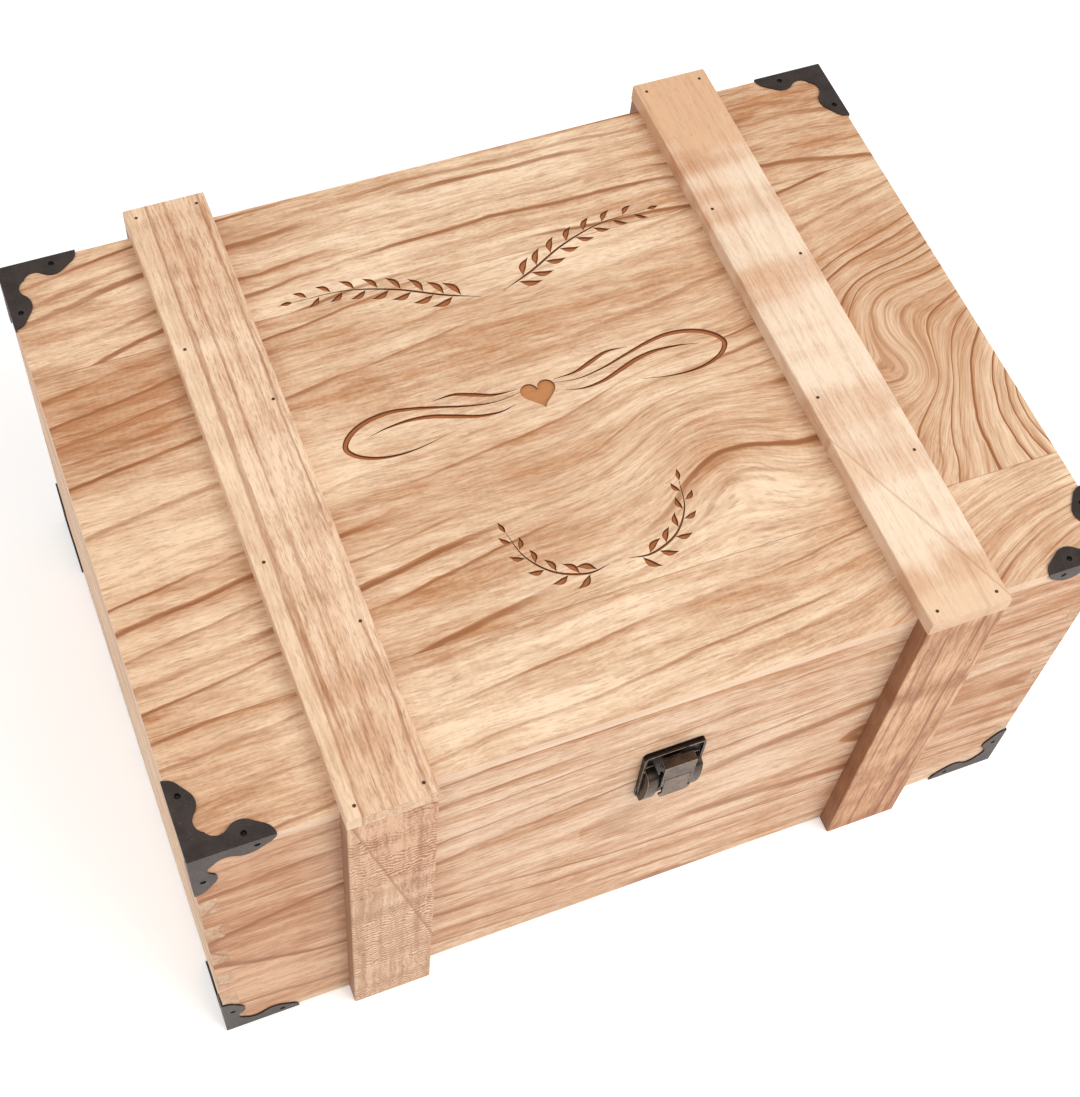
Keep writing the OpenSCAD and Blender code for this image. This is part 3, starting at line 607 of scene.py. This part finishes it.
# Glue lines between the staves
glue_width, glue_share = 0.12, 0.6
glue_lines = []
for edge in stave_edges:
    distance = sums(tree, "ABSOLUTE", minus(tree, y_mm, edge))
    glue_lines.append(ramp(tree, distance, glue_width, 2 * glue_width, 1.0, 0.0))
glue = times(tree, plus(tree, *glue_lines), glue_share)
colour = blended(tree, glue, pattern.outputs["Colour"], srgb(150, 100, 66))
# The panel's left end is a little browner, and its side faces are mixed towards a paler colour than
# its top face
colour = browned(tree, colour, (-1, 0, 0), 105.0, 180.0, 0.25)
facing = tree.nodes.new("ShaderNodeSeparateXYZ")
tree.links.new(place.outputs["Normal"], facing.inputs[0])
rim = ramp(tree, sums(tree, "ABSOLUTE", facing.outputs[2]), 0.1, 0.4, 0.6, 0.0)
colour = blended(tree, rim, colour, srgb(247, 216, 188))
# The engraving is scorched from just below the panel's face, darkest on its steep walls. It
# keeps inside this half length and half width, and well above the panel's underside.
engraved_x, engraved_y = 95.0, 110.0
top_mm = top / MM
burnt = ramp(tree, z_mm, top_mm - 0.25, top_mm - 0.05, 1.0, 0.0)
above_underside = ramp(tree, z_mm, top_mm - 2.4, top_mm - 2.0)
inside = times(tree, sums(tree, "LESS_THAN", sums(tree, "ABSOLUTE", x_mm), engraved_x),
               sums(tree, "LESS_THAN", sums(tree, "ABSOLUTE", y_mm), engraved_y))
burnt = times(tree, burnt, above_underside, inside)
floor_share = ramp(tree, facing.outputs[2], 0.6, 0.95)
scorch = blended(tree, floor_share, srgb(96, 52, 24), srgb(176, 108, 58))
in_heart = ramp(tree, z_mm, top_mm - 0.95, top_mm - 0.85, 1.0, 0.0)
scorch = blended(tree, in_heart, scorch, srgb(198, 140, 90))
scorch = blended(tree, 0.35, scorch, pattern.outputs["Colour"], blend="MULTIPLY")
tree.links.new(blended(tree, burnt, colour, scorch), shader.inputs["Base Color"])

panel = copied("engraved_top_panel", "lid_top_panel", top_wood)
all_verts, all_faces, start = [], [], 0
for verts, faces in cutters:
    all_verts.append(verts)
    all_faces += [[v + start for v in face] for face in faces]
    start += len(verts)
cutter = new_piece("engraving_cutter", np.vstack(all_verts), all_faces, top_wood)
carve = panel.modifiers.new("engraving", "BOOLEAN")
carve.operation = "DIFFERENCE"
carve.solver = "EXACT"
carve.use_self = True
carve.object = cutter
settle(panel)
bpy.data.objects.remove(cutter)
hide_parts("lid_top_panel")
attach(panel, "lid")

# Boards and bottom panel. Front, back and side boards are finger-jointed and glued as one
# closed carcass, and lid and base are then sawn apart, so the grain runs on across the cut.
front_wood, tree, shader, pattern = wood(
    "front board wood", Along=(1, 0, 0), Across=(0, 0, 1), Pith=(270, 92, 138), Taper=0.14,
    Ring_Width=13.0, Wander=12.0, Lines=0.65, Streaks=0.8, Seed=2.2, Pale=srgb(242, 210, 180),
    Brown=srgb(190, 128, 76),
)
colour = browned(tree, pattern.outputs["Colour"], (-1, 0, 0), 90.0, 175.0, 0.5)
tree.links.new(colour, shader.inputs["Base Color"])
back_wood = wood("back board wood", Along=(1, 0, 0), Across=(0, 0, 1), Pith=(-300, 70, -150),
                 Taper=-0.13, Ring_Width=11.0, Wander=12.0, Seed=5.4)[0]
left_wood = wood("left board wood", Along=(0, 1, 0), Across=(0, 0, 1), Pith=(240, 120, -200),
                 Taper=0.12, Ring_Width=10.0, Wander=12.0, Seed=7.9)[0]
right_wood = wood("right board wood", Along=(0, 1, 0), Across=(0, 0, 1), Pith=(-230, -30, 205),
                  Taper=-0.12, Ring_Width=9.0, Wander=12.0, Seed=8.6)[0]
bottom_wood = wood("bottom panel wood", Along=(1, 0, 0), Across=(0, 1, 0), Pith=(280, 90, -20),
                   Taper=0.12, Ring_Width=12.0, Wander=14.0, Seed=11.6)[0]
finish_nodes(front_wood, "lid_front_board", "base_front_board")
finish_nodes(back_wood, "lid_back_board", "base_back_board")
finish_nodes(left_wood, "lid_left_board", "base_left_board")
finish_nodes(right_wood, "lid_right_board", "base_right_board")
finish_nodes(bottom_wood, "base_bottom_panel")

# Straps. Planed bars with eased long edges, nailed flat on the box. The two over the top
# are the palest wood; the upright ones in front are browner, one with a wavy figure and one
# with straight dark lines.
top_grain = dict(Along=(0, 1, 0), Across=(1, 0, 0), End=0.05)
upright_grain = dict(Along=(0, 0, 1), Across=(1, 0, 0), End=0.05)
mid_brown = dict(Pale=srgb(240, 205, 176), Brown=srgb(192, 142, 108))
# What all straps' grain shares, and each one's pith, seed and own looks
strap_grain = dict(Taper=0.03, Ring_Width=9.0, Wander=5.0, Bands=0.7, Fibres=0.6, Streaks=0.5)
strap_woods = {
    "lid_top_strap_left": dict(
        top_grain, Pith=(0, -320, -190), Seed=21.0, Ring_Width=7.0, Lines=0.5, Bands=0.35,
        Pale=srgb(246, 214, 182), Brown=srgb(205, 154, 116)),
    "lid_top_strap_right": dict(
        top_grain, Pith=(0, -90, -190), Seed=22.0, Lines=0.15, Streaks=0.4, Fibres=0.3, Grit=0.45,
        Pale=srgb(246, 221, 194), Brown=srgb(214, 162, 122)),
    "front_strap_left": dict(
        upright_grain, Pith=(0, -330, -130), Seed=23.0, Curl=1.7, Lines=0.3, Bands=0.6,
        Fibres=0.5, Streaks=0.6, Pale=srgb(240, 205, 176), Brown=srgb(178, 124, 86)),
    "front_strap_right": dict(
        upright_grain, Pith=(0, -100, -140), Seed=24.0, Ring_Width=7.0, Lines=1.3,
        Fibres=0.8, Streaks=0.75, Pale=srgb(231, 185, 147), Brown=srgb(178, 122, 80)),
    "back_strap_left": dict(upright_grain, **mid_brown, Pith=(0, -320, 140), Seed=25.0),
    "back_strap_right": dict(upright_grain, **mid_brown, Pith=(0, -90, 140), Seed=26.0),
}
# Some straps darken towards an end: the way to it, where that begins and is complete in
# millimetres, and its share
darker_ends = [
    ("lid_top_strap_right", (0, 1, 0), 75.0, 115.0, 0.8),
    ("lid_top_strap_right", (0, -1, 0), 116.0, 134.0, 0.5),
    ("lid_top_strap_left", (0, -1, 0), 60.0, 120.0, 0.1),
    ("front_strap_left", (0, 0, 1), 105.0, 150.0, 0.4),
    ("front_strap_right", (0, 0, -1), -90.0, -20.0, 0.15),
]
# On some an edge between sapwood and heartwood runs lengthways or aslant, with a dark line: the
# way to the heartwood, the edge's place in millimetres, and the shares of the sapwood's paler
# colour and of the line's
sapwood_edges = {
    "lid_top_strap_left": ((1, -0.012, 0), -126.5, 0.3, 0.6),
    "lid_top_strap_right": ((1, 0.4, 0), 77.2, 0.1, 0.35),
    "front_strap_left": ((1, 0, 0.233), -86.5, 0.12, 0.6),
}
for strap, grain in strap_woods.items():
    name = strap.replace("_", " ") + " wood"
    material, tree, shader, pattern = wood(name, **dict(strap_grain, **grain))
    # The bars' saw-cut sides are browner than their planed faces: partly their own stain and partly
    # painted shade, much more on the upright bars than on the top ones
    normal = tree.nodes.new("ShaderNodeTexCoord").outputs["Normal"]
    sawn_and_shade = vector_sums(tree, "DOT_PRODUCT", normal, (1, 0, 0), output="Value")
    sawn_and_shade_share = 0.1 if "top" in strap else 0.75
    sawn_and_shade = ramp(tree, sums(tree, "ABSOLUTE", sawn_and_shade), 0.75, 0.97, 0.0, sawn_and_shade_share)
    colour = blended(tree, sawn_and_shade, pattern.outputs["Colour"], srgb(130, 80, 46))
    for bar, *end in darker_ends:
        if bar == strap:
            colour = browned(tree, colour, *end)
    if strap in sapwood_edges:
        way, edge, paler, darker = sapwood_edges[strap]
        place = tree.nodes.new("ShaderNodeTexCoord").outputs["Object"]
        inward = vector_sums(tree, "DOT_PRODUCT", place, Vector(way) / MM, output="Value")
        uneven_scale, uneven_seed = 40.0, 3.0
        uneven = noise(tree, vector_sums(tree, "SCALE", place, uneven_scale), uneven_seed)
        inward = plus(tree, minus(tree, inward, edge), uneven)
        sap = ramp(tree, inward, -0.6, 0.1, paler, 0.0)
        line_start = ramp(tree, inward, -0.3, 0.2)
        line = times(tree, line_start, ramp(tree, inward, 0.3, 1.6, darker, 0.0))
        colour = blended(tree, sap, colour, srgb(250, 222, 186))
        colour = blended(tree, line, colour, srgb(168, 116, 80))
    tree.links.new(colour, shader.inputs["Base Color"])
    if strap.startswith("lid_"):
        finish_nodes(material, strap)
    else:
        finish_nodes(material, "lid_" + strap, "base_" + strap)

# Corner brackets. Stamped and folded from thin blackened steel, one on each corner, held by
# six small round-head nails.


def build_wear():
    """Patina for metal: blotches in two tones, fine mottling and a few thin scratches.

    All three are noise on places in millimetres: blotches at a scale of one Blotch Size,
    mottling much finer, and scratches drawn out along the box.
    """
    tree, group, out = build_group(
        "metal patina",
        [("Dark", "colour", srgb(60, 54, 52)), ("Light", "colour", srgb(96, 88, 84)),
         ("Blotch Size", "number", 4.0), ("Seed", "number", 0.0),
         ("Smooth", "number", 0.34), ("Rough", "number", 0.55)],
        [("Colour", "colour"), ("Roughness", "number"), ("Relief", "number")],
    )
    given = group.outputs
    mottle_scale, scratch_scale, scratch_share = 1.6, (0.5, 4.0, 2.6), 0.25
    place = tree.nodes.new("ShaderNodeTexCoord")
    mm = vector_sums(tree, "SCALE", place.outputs["Object"], 1 / MM)
    blotchy = vector_sums(tree, "SCALE", mm, sums(tree, "DIVIDE", 1.0, given["Blotch Size"]))
    blotch = ramp(tree, noise(tree, blotchy, given["Seed"], detail=4.0, rough=0.6), 0.35, 0.65)
    mottled = vector_sums(tree, "SCALE", mm, mottle_scale)
    mottle = ramp(tree, noise(tree, mottled, given["Seed"], detail=3.0), 0.3, 0.7)
    stretched = vector_sums(tree, "MULTIPLY", mm, scratch_scale)
    scratch = ramp(tree, noise(tree, stretched, given["Seed"]), 0.66, 0.72)
    tone = plus(tree, times(tree, blotch, 0.65), times(tree, mottle, 0.35))
    colour = blended(tree, tone, given["Dark"], given["Light"])
    colour = blended(tree, times(tree, scratch, scratch_share), colour, srgb(170, 160, 150))
    tree.links.new(colour, out.inputs["Colour"])
    spread = minus(tree, given["Rough"], given["Smooth"])
    roughness = plus(tree, given["Smooth"], times(tree, mottle, spread))
    tree.links.new(roughness, out.inputs["Roughness"])
    relief = plus(tree, times(tree, blotch, 0.3), times(tree, mottle, 0.7))
    tree.links.new(relief, out.inputs["Relief"])
    return tree


PATINA = build_wear()


def metal(name, relief=0.25, level_face_shade=0.8, flank_shade=1.0, **patina):
    """A metal material with these patina values.

    Two arguments paint shade: one is the share of a darker tone on faces that look up or down, the
    other dims faces turned to the sides.
    """
    material, tree, shader = start_material(name)
    wear = placed(tree, PATINA, **patina)
    bump = tree.nodes.new("ShaderNodeBump")
    pit = 0.08 * MM
    bump.inputs["Strength"].default_value = relief
    bump.inputs["Distance"].default_value = pit
    tree.links.new(wear.outputs["Relief"], bump.inputs["Height"])
    tree.links.new(bump.outputs["Normal"], shader.inputs["Normal"])
    facing = tree.nodes.new("ShaderNodeSeparateXYZ")
    tree.links.new(tree.nodes.new("ShaderNodeTexCoord").outputs["Normal"], facing.inputs[0])
    # Painted shade: faces that look up or down are darkened, as if lit less than the fronts
    level_face_shade_mask = times(tree, ramp(tree, sums(tree, "ABSOLUTE", facing.outputs[2]), 0.3, 0.8), level_face_shade)
    colour = blended(tree, level_face_shade_mask, wear.outputs["Colour"], srgb(172, 160, 152), blend="MULTIPLY")
    # Painted shade: faces turned to the sides are dimmed
    sideways = ramp(tree, sums(tree, "ABSOLUTE", facing.outputs[0]), 0.6, 0.9)
    colour = blended(tree, sideways, colour, (flank_shade, flank_shade, flank_shade, 1.0), blend="MULTIPLY")
    tree.links.new(colour, shader.inputs["Base Color"])
    tree.links.new(wear.outputs["Roughness"], shader.inputs["Roughness"])
    shader.inputs["Metallic"].default_value = 0.75
    return material


corners = [f"{face}_{side}" for face in ("front", "back") for side in ("left", "right")]
bracket_steel = metal("bracket steel", level_face_shade=0.4, Dark=srgb(58, 51, 48), Light=srgb(78, 68, 64),
                      Blotch_Size=7.0, Seed=31.0)
# The eased edges and folds are lighter steel: partly rubbed wear, partly a painted highlight along
# the folds
bracket_edge_wear_and_highlight = metal("bracket edge, rubbed and painted highlight", level_face_shade=0.4, Dark=srgb(72, 65, 63),
                     Light=srgb(106, 97, 94), Blotch_Size=3.0, Seed=32.0, Smooth=0.3, Rough=0.45)
rubbed_highlight_width = 0.35 * MM
for part in ("lid", "base"):
    for corner in corners:
        node = f"{part}_bracket_{corner}"
        bracket = copied(node + "_steel", node, bracket_steel)
        bracket.data.materials.append(bracket_edge_wear_and_highlight)
        eased(bracket, rubbed_highlight_width, segments=3).material = 1
        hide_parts(node)
        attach(bracket, part)

# Nails. Blackened round-head nails hold the brackets, and thin headless nails, set flush,
# hold the straps.
black_nail = metal("bracket nail steel", Dark=srgb(16, 14, 14), Light=srgb(38, 33, 32),
                   Blotch_Size=2.0, Seed=33.0)
strap_nail = metal("strap nail steel", Dark=srgb(92, 70, 56), Light=srgb(134, 108, 88),
                   Blotch_Size=2.0, Seed=34.0)
finish_nodes(black_nail, "lid_bracket_nails", "base_bracket_nails")
finish_nodes(strap_nail, "lid_strap_nails", "base_strap_nails")

# Latch. A toggle latch of stamped, antique bronze: a catch plate with a hook on the lid, a
# base plate with two wings below it, a lever between the wings and a hooped tongue. The
# browned finish is rubbed bright along the edges, and a painted highlight lies on them too.
plate_bronze = metal("latch plate bronze", flank_shade=0.5, Dark=srgb(44, 32, 24),
                     Light=srgb(84, 68, 54), Blotch_Size=5.0, Seed=41.0, Smooth=0.3, Rough=0.5)
moving_bronze = metal("lever bronze", flank_shade=0.25, Dark=srgb(86, 72, 62), Light=srgb(126, 109, 95),
                      Blotch_Size=4.0, Seed=42.0, Smooth=0.3, Rough=0.48)
tongue_bronze = metal("tongue bronze", flank_shade=0.2, Dark=srgb(67, 53, 43), Light=srgb(115, 98, 84),
                      Blotch_Size=4.0, Seed=43.0, Smooth=0.3, Rough=0.5)
# Rubbed edges, partly real wear and partly painted highlight: a near-white bronze, made less
# metallic below so it brightens under any light
rubbed_and_highlight_bronze = metal("rubbed bronze edge, painted highlight", Dark=srgb(150, 132, 112), Light=srgb(246, 236, 218),
                      Blotch_Size=3.0, Seed=44.0, Smooth=0.25, Rough=0.4)
rubbed_and_highlight_bronze.node_tree.nodes["Principled BSDF"].inputs["Metallic"].default_value = 0.4
nail_bronze = metal("latch nail bronze", Dark=srgb(46, 34, 26), Light=srgb(92, 74, 58), Seed=45.0)
# The hollow inside the plates' raised rim has kept most of its dark finish. It lies within
# this distance of the box, in millimetres, and the rim's top stands further out.
hollow_height, rim_height = 1.1, 2.0
box_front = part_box("lid_front_board")[0].y / MM
tree = plate_bronze.node_tree
plate_colour = tree.nodes["Principled BSDF"].inputs["Base Color"]
place = tree.nodes.new("ShaderNodeTexCoord").outputs["Object"]
from_box = vector_sums(tree, "DOT_PRODUCT", place, (0, -1 / MM, 0), output="Value")
hollow = ramp(tree, plus(tree, from_box, box_front), hollow_height, rim_height, 1.0, 0.0)
bare_colour = plate_colour.links[0].from_socket
dark_colour = blended(tree, hollow, bare_colour, srgb(84, 62, 46), blend="MULTIPLY")
tree.links.new(dark_colour, plate_colour)
# Each piece's body, bronze, slot and width of its rubbed, painted-highlight edges in millimetres
latch_pieces = [
    ("catch_plate", "lid", plate_bronze, "latch_plate_bronze", 0.4),
    ("latch_base_plate", "base", plate_bronze, "latch_plate_bronze", 0.35),
    ("latch_lever", "latch_lever", moving_bronze, "latch_moving_bronze", 0.2),
    ("latch_tongue", "latch_tongue", tongue_bronze, "latch_moving_bronze", 0.2),
]
for node, body, bronze, slot, edge in latch_pieces:
    piece = copied(node + "_bronze", node, bronze)
    piece.data.materials.append(rubbed_and_highlight_bronze)
    eased(piece, edge * MM).material = 1
    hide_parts(node)
    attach(piece, body)
finish_nodes(nail_bronze, "catch_plate_nails", "latch_plate_nails")
finish_nodes(moving_bronze, "latch_lever_pins", "latch_tongue_pin")

# Hinges. Two butt hinges of antique brass behind the box, with rolled knuckles on a pin and
# countersunk cross-head screws.
hinge_brass = metal("hinge brass", Dark=srgb(88, 68, 44), Light=srgb(134, 110, 78),
                    Blotch_Size=6.0, Seed=51.0)
screw_brass = metal("hinge screw brass", Dark=srgb(100, 80, 54), Light=srgb(150, 126, 92),
                    Blotch_Size=2.0, Seed=52.0)
finish_nodes(hinge_brass, *[f"hinge_{part}_{side}" for part in ("lid_leaf", "base_leaf", "pin")
                            for side in ("left", "right")])
finish_nodes(screw_brass, "hinge_lid_screws", "hinge_base_screws")

# Studio. The box stands on a white sheet in soft light from a large lamp high on the right,
# with a weaker one from the left and a pale surround.
floor_half = 6.0
sheet_glow = 0.35
surround_light = 0.55


def seen_directly(tree):
    """1 where a ray comes from the camera, a reflection or clear glass, and 0 for other light."""
    rays = tree.nodes.new("ShaderNodeLightPath").outputs
    clear = sums(tree, "MAXIMUM", rays["Is Glossy Ray"], rays["Is Transmission Ray"])
    return sums(tree, "MAXIMUM", rays["Is Camera Ray"], clear)


floor_material, tree, shader = start_material("white sheet")
shader.inputs["Base Color"].default_value = (0.9, 0.89, 0.88, 1)
shader.inputs["Roughness"].default_value = 0.9
shader.inputs["Emission Color"].default_value = (1, 0.99, 0.98, 1)
glow = times(tree, seen_directly(tree), sheet_glow)
tree.links.new(glow, shader.inputs["Emission Strength"])
floor_corners = [(x * floor_half, y * floor_half, 0)
                 for x, y in ((-1, -1), (1, -1), (1, 1), (-1, 1))]
floor = new_piece("floor", floor_corners, [[0, 1, 2, 3]], floor_material)

world = bpy.data.worlds.new("studio")
bpy.context.scene.world = world
world.use_nodes = True
tree = world.node_tree
strength = plus(tree, surround_light, times(tree, seen_directly(tree), 1 - surround_light))
background = tree.nodes["Background"]
background.inputs["Color"].default_value = (1, 1, 1, 1)
tree.links.new(strength, background.inputs["Strength"])


def lamp(name, place, size, power, colour):
    """A square area lamp at place, in metres, aimed at the box."""
    data = bpy.data.lights.new(name, "AREA")
    data.size = size
    data.energy = power
    data.color = colour
    light = bpy.data.objects.new(name, data)
    bpy.context.scene.collection.objects.link(light)
    light.location = place
    light.rotation_mode = "QUATERNION"
    light.rotation_quaternion = (Vector((0, 0, 0.1)) - Vector(place)).to_track_quat("-Z", "Y")


lamp("key", (0.9, -1.2, 1.7), 1.6, 30.0, (1, 0.99, 0.97))
lamp("fill", (-1.2, 0.3, 1.5), 1.6, 8.0, (1, 0.99, 0.98))

bpy.context.scene.view_settings.view_transform = "Standard"
